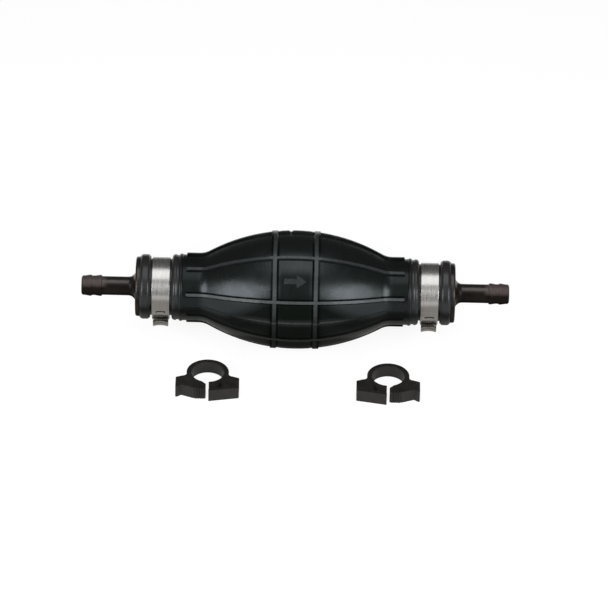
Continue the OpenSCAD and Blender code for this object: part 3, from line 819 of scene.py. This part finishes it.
class Finish:
    """A material under construction: Principled, Object coordinates, and short calls for nodes."""

    def __init__(self, name, colour, roughness, metallic=0.0):
        self.material = bpy.data.materials.new(name)
        self.material.use_nodes = True
        self.tree = self.material.node_tree
        self.shader = self.tree.nodes["Principled BSDF"]
        self.shader.inputs["Base Color"].default_value = (*colour, 1)
        self.shader.inputs["Roughness"].default_value = roughness
        self.shader.inputs["Metallic"].default_value = metallic
        self.place = self.add("ShaderNodeTexCoord").outputs["Object"]
        self.height = None

    def add(self, kind, **settings):
        node = self.tree.nodes.new(kind)
        for key, value in settings.items():
            setattr(node, key, value)
        return node

    def join(self, output, node, socket):
        self.tree.links.new(output, node.inputs[socket])

    def stretched(self, scale):
        node = self.add("ShaderNodeMapping")
        node.inputs["Scale"].default_value = scale
        self.join(self.place, node, "Vector")
        return node.outputs["Vector"]

    def noise(self, size, detail=3.0, rough=0.5, vector=None):
        """Noise whose blotches are about size metres across."""
        node = self.add("ShaderNodeTexNoise")
        node.inputs["Scale"].default_value = 1 / size
        node.inputs["Detail"].default_value = detail
        node.inputs["Roughness"].default_value = rough
        self.join(vector or self.place, node, "Vector")
        return node.outputs["Fac"]

    def spread(self, value, low, high, to_low=0.0, to_high=1.0):
        """to_low where the value is low, to_high where it is high, and even steps between."""
        node = self.add("ShaderNodeMapRange")
        for socket, number in zip(("From Min", "From Max", "To Min", "To Max"),
                                  (low, high, to_low, to_high)):
            node.inputs[socket].default_value = number
        self.join(value, node, "Value")
        return node.outputs["Result"]

    def mix(self, share, first, second):
        """Colour between two colours or sockets."""
        node = self.add("ShaderNodeMix", data_type="RGBA")
        self.join(share, node, "Factor")
        for socket, colour in ((6, first), (7, second)):
            if isinstance(colour, tuple):
                node.inputs[socket].default_value = (*colour, 1)
            else:
                self.join(colour, node, socket)
        return node.outputs[2]

    def math(self, operation, first, second):
        node = self.add("ShaderNodeMath", operation=operation)
        for socket, value in enumerate((first, second)):
            if isinstance(value, (int, float)):
                node.inputs[socket].default_value = value
            else:
                self.join(value, node, socket)
        return node.outputs["Value"]

    def product(self, *values):
        total = values[0]
        for value in values[1:]:
            total = self.math("MULTIPLY", total, value)
        return total

    def bump(self, value, height):
        """Adds a relief of about height metres on top of the reliefs before it."""
        node = self.add("ShaderNodeBump")
        node.inputs["Strength"].default_value = 1
        node.inputs["Distance"].default_value = height
        self.join(value, node, "Height")
        if self.height:
            self.join(self.height, node, "Normal")
        self.height = node.outputs["Normal"]

    def about_axis(self):
        """(distance along the pump, radius, turn from the top, height as a share of the radius)."""
        split = self.add("ShaderNodeSeparateXYZ")
        self.join(self.place, split, "Vector")
        ahead = self.math("SUBTRACT", AXIS_Y, split.outputs["Y"])
        above = self.math("SUBTRACT", split.outputs["Z"], AXIS_Z)
        squares = [self.math("MULTIPLY", side, side) for side in (ahead, above)]
        radius = self.math("SQRT", self.math("ADD", *squares), 0)
        turn = self.math("ARCTAN2", ahead, above)
        return (self.math("ABSOLUTE", split.outputs["X"], 0), radius, turn,
                self.math("DIVIDE", above, radius))

    def set(self, **sockets):
        for name, value in sockets.items():
            socket = name.replace("_", " ")
            if isinstance(value, (int, float, tuple)):
                self.shader.inputs[socket].default_value = value
            else:
                self.join(value, self.shader, socket)

    def done(self):
        if self.height:
            self.join(self.height, self.shader, "Normal")
        return self.material


def beside(finish, distance, crest, foot):
    """1 on the sloping side of a rib and in its foot, 0 on its crest and out on the skin."""
    rise = finish.spread(distance, crest - 0.1 * MM, crest + 0.15 * MM)
    fall = finish.spread(distance, foot, foot + 0.35 * MM, 1, 0)
    return finish.product(rise, fall)


def on_top(finish, distance, width):
    """1 on the middle of a rib's crest, which is width across, and 0 off it."""
    return finish.spread(distance, 0.6 * width, 0.4 * width)


def gloss_shaded_below(finish, height, low, high, top):
    """Gloss that is high above and cut low down: painted shade, which keeps the lower side from
    reflecting the pale floor.
    """
    gloss = finish.spread(height, low, high, 0.08 * top, top)
    return finish.product(gloss, finish.spread(height, -0.35, -0.05, 0.02, 1))


def bulb_rubber(name="bulb rubber", bloom_and_highlight_share=0.0):
    """Black rubber: bloom with painted highlight on the ribs' crests, painted shade beside them,
    gloss above, and gloss cut low down as painted shade.

    The last argument is the share of that bloom and painted highlight everywhere else, as on the
    top of the raised arrow.
    """
    finish = Finish(name, (0.005, 0.006, 0.006), 0.3)
    along, radius, turn, height = finish.about_axis()

    # Distances on the skin from the nearest rib, ring and parting line
    half_pitch = math.pi / RIBS
    to_rib = finish.math("PINGPONG", finish.math("ADD", turn, half_pitch), half_pitch)
    from_rib = finish.product(to_rib, radius)
    from_parting = finish.product(finish.math("SUBTRACT", half_pitch, to_rib), radius)
    from_ring = finish.math("ABSOLUTE", finish.math("SUBTRACT", along, RING_X), 0)
    on_rib = finish.spread(along, RIB_END, RIB_END + 0.5 * MM, 1, 0)

    # Bloom with painted highlight on the crests, which fades down the sides of the ring ribs as
    # painted shade
    rib_crest = finish.product(on_top(finish, from_rib, RIB_TOP), on_rib)
    ring_crest = on_top(finish, from_ring, RING_TOP)
    ring_bloom_and_highlight = finish.product(ring_crest, finish.spread(height, 0, 0.5, 0.2, 1))
    # The parting line and a faint band beside it get the same bloom and painted highlight, fading
    # towards the ends
    parting = finish.math("ADD",
                          finish.spread(from_parting, 0.6 * PARTING_W, 0.2 * PARTING_W, 0, 0.45),
                          finish.spread(from_parting, 2.4 * MM, 0.6 * MM, 0, 0.25))
    parting = finish.product(parting, finish.spread(height, 0.3, 0.1),
                             finish.spread(height, -0.3, -0.1),
                             finish.spread(along, 18 * MM, 32 * MM, 1, 0.1))
    dust = finish.noise(1.6 * MM, 5, 0.7)
    bloom_and_highlight = finish.math("MAXIMUM", finish.math("MAXIMUM", rib_crest, ring_bloom_and_highlight), bloom_and_highlight_share)
    bloom_and_highlight = finish.product(finish.math("MAXIMUM", bloom_and_highlight, parting),
                           finish.spread(dust, 0.25, 0.6, 0.5, 1), 0.9)
    # Painted highlight: the bloom is lighter on the upright sides than on the top and the bottom
    upright = finish.product(finish.spread(height, -0.3, -0.1), finish.spread(height, 0.8, 0.45))
    powder_and_highlight = finish.mix(upright, (0.032, 0.036, 0.036), (0.072, 0.078, 0.078))

    # Painted shade at the feet of the ribs, as darker colour and less gloss, kept off the crests
    shade_free = finish.math("MAXIMUM", finish.math("MAXIMUM", rib_crest, ring_crest), bloom_and_highlight_share)
    rib_side = finish.product(beside(finish, from_rib, RIB_TOP / 2, RIB_BASE / 2), on_rib)
    ring_side = beside(finish, from_ring, RING_TOP / 2, RING_BASE / 2)
    crease_shade = finish.product(finish.math("MAXIMUM", rib_side, ring_side),
                           finish.math("SUBTRACT", 1, shade_free),
                           finish.spread(finish.noise(4 * MM, 4, 0.6), 0.2, 0.6, 0.7, 1))

    # Painted reflection low on the belly, and a brown-grey film on the beads that is lighter on top
    # as painted highlight
    painted_belly_reflection = finish.product(finish.spread(height, -0.25, -0.5, 0, 0.8),
                                finish.spread(along, 8 * MM, 26 * MM, 0.35, 1))
    bead_film_and_highlight = finish.product(finish.spread(along, 56.5 * MM, 58.5 * MM, 0, 0.5),
                               finish.spread(height, 0.1, 0.6, 0.35, 1))

    blotch = finish.spread(finish.noise(26 * MM, 4, 0.6), 0.35, 0.65)
    tint = finish.mix(blotch, (0.0038, 0.0055, 0.004), (0.0052, 0.0062, 0.006))
    tint = finish.mix(finish.spread(dust, 0.55, 0.9, 0, 0.2), tint, (0.026, 0.029, 0.027))
    tint = finish.mix(bloom_and_highlight, tint, powder_and_highlight)
    # Painted reflection: a lighter colour low on the belly
    tint = finish.mix(painted_belly_reflection, tint, (0.036, 0.036, 0.031))
    # Brown-grey film on the beads, stronger on top as painted highlight
    tint = finish.mix(bead_film_and_highlight, tint, (0.034, 0.029, 0.029))
    # Painted shade: the ribs' feet are darker
    tint = finish.mix(finish.product(crease_shade, 0.8), tint, (0.001, 0.001, 0.001))
    finish.set(Base_Color=tint)
    finish.set(Roughness=finish.spread(finish.noise(7 * MM, 4, 0.6), 0.3, 0.7, 0.24, 0.34))

    # The gloss reaches lower towards the ends, and is cut low down as painted shade. The middle
    # panels and the necks are duller; on the middle panel's lower part that is painted shade.
    gloss_height = finish.math("ADD", height, finish.spread(along, 14 * MM, 34 * MM, 0, 0.42))
    middle_panel = finish.product(finish.spread(along, 8 * MM, 6.6 * MM),
                                  finish.spread(height, 0.84, 0.76))
    neck = finish.product(finish.spread(along, 45 * MM, 49 * MM),
                          finish.spread(along, 58 * MM, 57 * MM))
    finish.set(Specular_IOR_Level=finish.product(
        gloss_shaded_below(finish, gloss_height, 0.28, 0.5, 0.36), finish.spread(middle_panel, 0, 1, 1, 0.45),
        finish.spread(neck, 0, 1, 1, 0.5), finish.spread(crease_shade, 0, 1, 1, 0.25)))
    finish.set(Specular_Tint=(0.84, 0.94, 1, 1))
    finish.bump(finish.noise(0.35 * MM, 2, 0.6), 0.012 * MM)
    finish.bump(finish.noise(5 * MM, 2, 0.5), 0.05 * MM)
    return finish.done()


def fitting_plastic():
    """Black plastic with a brown cast; hose has scuffed the barb, whose top is also lighter as
    painted highlight, and the gloss is cut on its lower half as painted shade.
    """
    finish = Finish("barb fitting plastic", (0.009, 0.007, 0.0075), 0.3)
    along, radius, _, height = finish.about_axis()
    grip_from, grip_to = TIP_X - 13 * MM, TIP_X - 11 * MM
    blotch = finish.spread(finish.noise(4 * MM, 4, 0.6), 0.3, 0.7)
    tint = finish.mix(blotch, (0.007, 0.0058, 0.005), (0.011, 0.0088, 0.008))
    # Scuffed towards the tip, and lighter on top as painted highlight
    scuff_and_top_light = finish.product(finish.spread(along, grip_from, grip_to),
                             finish.spread(height, 0.35, 0.7))
    tint = finish.mix(scuff_and_top_light, tint, (0.058, 0.047, 0.045))
    at_flange = finish.spread(radius, 6.5 * MM, 8.5 * MM)
    # Lighter brown low on the flange
    low_flange_tint = finish.product(finish.spread(height, 0.1, -0.3, 0, 0.8), at_flange)
    tint = finish.mix(low_flange_tint, tint, (0.03, 0.0235, 0.0185))
    finish.set(Base_Color=tint)
    finish.set(Roughness=finish.spread(finish.noise(5 * MM, 3, 0.5), 0.3, 0.7, 0.27, 0.33))
    flange_gloss = finish.product(gloss_shaded_below(finish, height, 0.1, 0.5, 0.5), at_flange)
    barb_gloss = finish.product(gloss_shaded_below(finish, height, 0.6, 0.88, 0.62),
                                finish.math("SUBTRACT", 1, at_flange))
    gloss = finish.math("ADD", flange_gloss, barb_gloss)
    worn_tip = finish.spread(along, grip_from, grip_to, 1, 0.45)
    finish.set(Specular_IOR_Level=finish.product(gloss, worn_tip))
    finish.set(Specular_Tint=(1, 0.94, 0.9, 1))
    finish.bump(finish.noise(0.25 * MM, 2, 0.5), 0.008 * MM)
    return finish.done()


def clamp_steel():
    """Rolled stainless strip: fine scratches run round it and smudges dim it; painted shade darkens
    its lower side and dims the highlight on its top.
    """
    finish = Finish("clamp steel", (0.6, 0.59, 0.57), 0.3, 1.0)
    height = finish.about_axis()[3]
    grain = finish.noise(1, 3, 0.7, finish.stretched((7000, 260, 260)))
    streak = finish.noise(1, 2, 0.5, finish.stretched((1400, 60, 60)))
    smudge = finish.noise(3 * MM, 4, 0.6)
    tint = finish.mix(finish.spread(streak, 0.3, 0.7), (0.54, 0.53, 0.51), (0.68, 0.67, 0.65))
    tint = finish.mix(finish.spread(smudge, 0.5, 0.8, 0, 0.3), tint, (0.36, 0.33, 0.3))
    # Painted shade: darker low on the band
    tint = finish.mix(finish.spread(height, 0.1, 0.4, 0.85, 0), tint, (0.13, 0.118, 0.105))
    # Painted shade dims the highlight on the band's top
    dimmed_top = finish.product(finish.spread(height, 0.62, 0.74, 0, 0.6),
                             finish.spread(height, 0.99, 0.95))
    tint = finish.mix(dimmed_top, tint, (0.3, 0.298, 0.292))
    finish.set(Base_Color=tint)
    finish.set(Roughness=finish.spread(grain, 0.3, 0.7, 0.22, 0.36))
    finish.bump(grain, 0.004 * MM)
    return finish.done()


def clip_plastic():
    finish = Finish("hose clip plastic", (0.012, 0.011, 0.01), 0.5)
    blotch = finish.spread(finish.noise(6 * MM, 4, 0.6), 0.3, 0.7)
    tint = finish.mix(blotch, (0.008, 0.0075, 0.007), (0.016, 0.0145, 0.0135))
    finish.set(Base_Color=tint)
    finish.set(Roughness=finish.spread(finish.noise(1.5 * MM, 3, 0.6), 0.3, 0.7, 0.42, 0.6))
    finish.set(Specular_IOR_Level=0.28)
    finish.bump(finish.noise(0.3 * MM, 2, 0.6), 0.015 * MM)
    return finish.done()


def valve_plastic():
    finish = Finish("valve plastic", (0.78, 0.76, 0.68), 0.4)
    blotch = finish.noise(5 * MM, 3, 0.5)
    finish.set(Base_Color=finish.mix(blotch, (0.72, 0.69, 0.6), (0.82, 0.8, 0.73)))
    finish.set(Subsurface_Weight=0.1)
    finish.bump(finish.noise(0.3 * MM, 2, 0.5), 0.006 * MM)
    return finish.done()


def seal_rubber():
    finish = Finish("seal rubber", (0.012, 0.012, 0.012), 0.35)
    finish.set(Roughness=finish.spread(finish.noise(1 * MM, 3, 0.5), 0.3, 0.7, 0.3, 0.42))
    finish.bump(finish.noise(0.2 * MM, 2, 0.5), 0.004 * MM)
    return finish.done()


def spring_steel():
    finish = Finish("spring steel", (0.55, 0.55, 0.56), 0.25, 1.0)
    tint = finish.mix(finish.noise(0.8 * MM, 3, 0.5), (0.48, 0.48, 0.49), (0.62, 0.62, 0.62))
    finish.set(Base_Color=tint)
    return finish.done()


def paint(piece, material):
    piece.data.materials.clear()
    piece.data.materials.append(material)


# ---------------------------------------------------------------- the pieces and their places

def shade_evenly(piece):
    """Keeps the broad faces flat next to their narrow rounded edges."""
    choose(piece)
    even = piece.modifiers.new("even shading", "WEIGHTED_NORMAL")
    even.keep_sharp = True
    apply_modifiers(piece)


def place(piece, body, slot, material, *nodes):
    shade_evenly(piece)
    paint(piece, material)
    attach(piece, body)
    if nodes:
        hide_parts(*nodes)


rubber, plastic, steel = bulb_rubber(), fitting_plastic(), clamp_steel()
nylon, acetal, seal, wire = clip_plastic(), valve_plastic(), seal_rubber(), spring_steel()

place(make_bulb(), "pump", "bulb_rubber", rubber, "bulb")
# The arrow's rubber has the bloom and painted highlight all over, at 0.6 of full
place(make_flow_arrow(), "pump", "bulb_rubber", bulb_rubber("arrow rubber", 0.6))

outlet_barb = make_outlet_fitting()
inlet_barb = mirrored(outlet_barb, "inlet_barb_fitting")
place(outlet_barb, "pump", "fitting_plastic", plastic, "outlet_fitting")
place(inlet_barb, "pump", "fitting_plastic", plastic, "inlet_fitting")

outlet_clamp = make_outlet_clamp()
inlet_clamp = mirrored(outlet_clamp, "inlet_ear_clamp")
place(outlet_clamp, "pump", "clamp_steel", steel, "outlet_neck_clamp")
place(inlet_clamp, "pump", "clamp_steel", steel, "inlet_neck_clamp")

left_clip = make_clip()
right_clip = other_clip(left_clip)
place(left_clip, "left_clip", "clip_plastic", nylon, "left_hose_clip")
place(right_clip, "right_clip", "clip_plastic", nylon, "right_hose_clip")

for end in ("inlet", "outlet"):
    spring = make_spring(f"{end}_spring_coil", f"{end}_valve_spring")
    place(spring, "pump", "spring_steel", wire, f"{end}_valve_spring")
    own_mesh(spring)
    for part, material in (("valve_seat", acetal), ("poppet", acetal), ("valve_cage", acetal),
                           ("seat_oring", seal), ("poppet_seal", seal)):
        paint(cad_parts[f"{end}_{part}"], material)


# ---------------------------------------------------------------- stage, light and camera

FLOOR_GREY = 0.22
FLOOR_GLOW = 0.86
ROOM_LIGHT = 0.09
CAMERA_BACK = 2500 * MM
CAMERA_RISE = 35.5
CAMERA_ROLL = 1.25
SENSOR_MM = 36
PICTURE_PIXELS = 608
PIXELS_PER_MM = 2
# Where the middle of the picture lies from the middle of the bulb, across and down
AIM_RIGHT = 4.5 * MM
AIM_DOWN = 7.1 * MM


def is_seen(tree):
    """1 for rays that see the stage directly, in gloss or through glass."""
    path = tree.nodes.new("ShaderNodeLightPath")
    total = path.outputs["Is Camera Ray"]
    for name in ("Is Glossy Ray", "Is Transmission Ray"):
        top = tree.nodes.new("ShaderNodeMath")
        top.operation = "MAXIMUM"
        tree.links.new(total, top.inputs[0])
        tree.links.new(path.outputs[name], top.inputs[1])
        total = top.outputs[0]
    return total


def make_floor():
    choose()
    bpy.ops.mesh.primitive_plane_add(size=6, location=(0, 0, FLOOR_Z - 0.02 * MM))
    floor = bpy.context.object
    floor.name = "floor"
    material = bpy.data.materials.new("floor white")
    material.use_nodes = True
    tree = material.node_tree
    tree.nodes.remove(tree.nodes["Principled BSDF"])
    matt = tree.nodes.new("ShaderNodeBsdfDiffuse")
    matt.inputs["Color"].default_value = (FLOOR_GREY, FLOOR_GREY, FLOOR_GREY, 1)
    glow = tree.nodes.new("ShaderNodeEmission")
    both = tree.nodes.new("ShaderNodeAddShader")
    lift = tree.nodes.new("ShaderNodeMath")
    lift.operation = "MULTIPLY"
    lift.inputs[1].default_value = FLOOR_GLOW
    tree.links.new(is_seen(tree), lift.inputs[0])
    tree.links.new(lift.outputs[0], glow.inputs["Strength"])
    tree.links.new(matt.outputs[0], both.inputs[0])
    tree.links.new(glow.outputs[0], both.inputs[1])
    tree.links.new(both.outputs[0], tree.nodes["Material Output"].inputs["Surface"])
    floor.data.materials.append(material)


def make_world():
    world = bpy.data.worlds.new("studio")
    bpy.context.scene.world = world
    world.use_nodes = True
    world.node_tree.nodes["Background"].inputs["Color"].default_value = (1, 1, 1, 1)
    world.node_tree.nodes["Background"].inputs["Strength"].default_value = ROOM_LIGHT


def add_soft_box(name, turn, rise, away, width, height, brightness):
    """A soft box that looks at the bulb, turn degrees round from the front and rise degrees up."""
    light = bpy.data.lights.new(name, "AREA")
    light.shape, light.size, light.size_y = "RECTANGLE", width, height
    light.energy = brightness * math.pi * width * height
    lamp = bpy.data.objects.new(name, light)
    bpy.context.collection.objects.link(lamp)
    a, e = math.radians(turn), math.radians(rise)
    back = Vector((math.sin(a) * math.cos(e), -math.cos(a) * math.cos(e), math.sin(e)))
    lamp.location = Vector((0, AXIS_Y, AXIS_Z)) + back * away
    lamp.rotation_euler = back.to_track_quat("Z", "Y").to_euler()


def make_camera():
    camera = bpy.data.objects.new("camera", bpy.data.cameras.new("camera"))
    bpy.context.collection.objects.link(camera)
    e = math.radians(CAMERA_RISE)
    back = Vector((0, -math.cos(e), math.sin(e)))
    up = Vector((0, math.sin(e), math.cos(e)))
    camera.location = Vector((AIM_RIGHT, AXIS_Y, AXIS_Z)) - up * AIM_DOWN + back * CAMERA_BACK
    camera.rotation_euler = back.to_track_quat("Z", "Y").to_euler()
    camera.rotation_euler.rotate_axis("Z", math.radians(CAMERA_ROLL))
    camera.data.sensor_width = SENSOR_MM
    camera.data.lens = PIXELS_PER_MM * (CAMERA_BACK / MM) * SENSOR_MM / PICTURE_PIXELS
    camera.data.clip_end = 100
    bpy.context.scene.camera = camera


make_floor()
make_world()
add_soft_box("overhead box", 0, 85, 0.9, 0.55, 0.72, 2.2)
add_soft_box("left box", -41, 22, 0.8, 0.44, 0.44, 7.5)
add_soft_box("right box", 41, 22, 0.8, 0.44, 0.44, 7.5)
add_soft_box("front fill", 0, 46, 1.2, 1.0, 0.6, 0.38)
make_camera()
bpy.context.scene.view_settings.view_transform = "Standard"
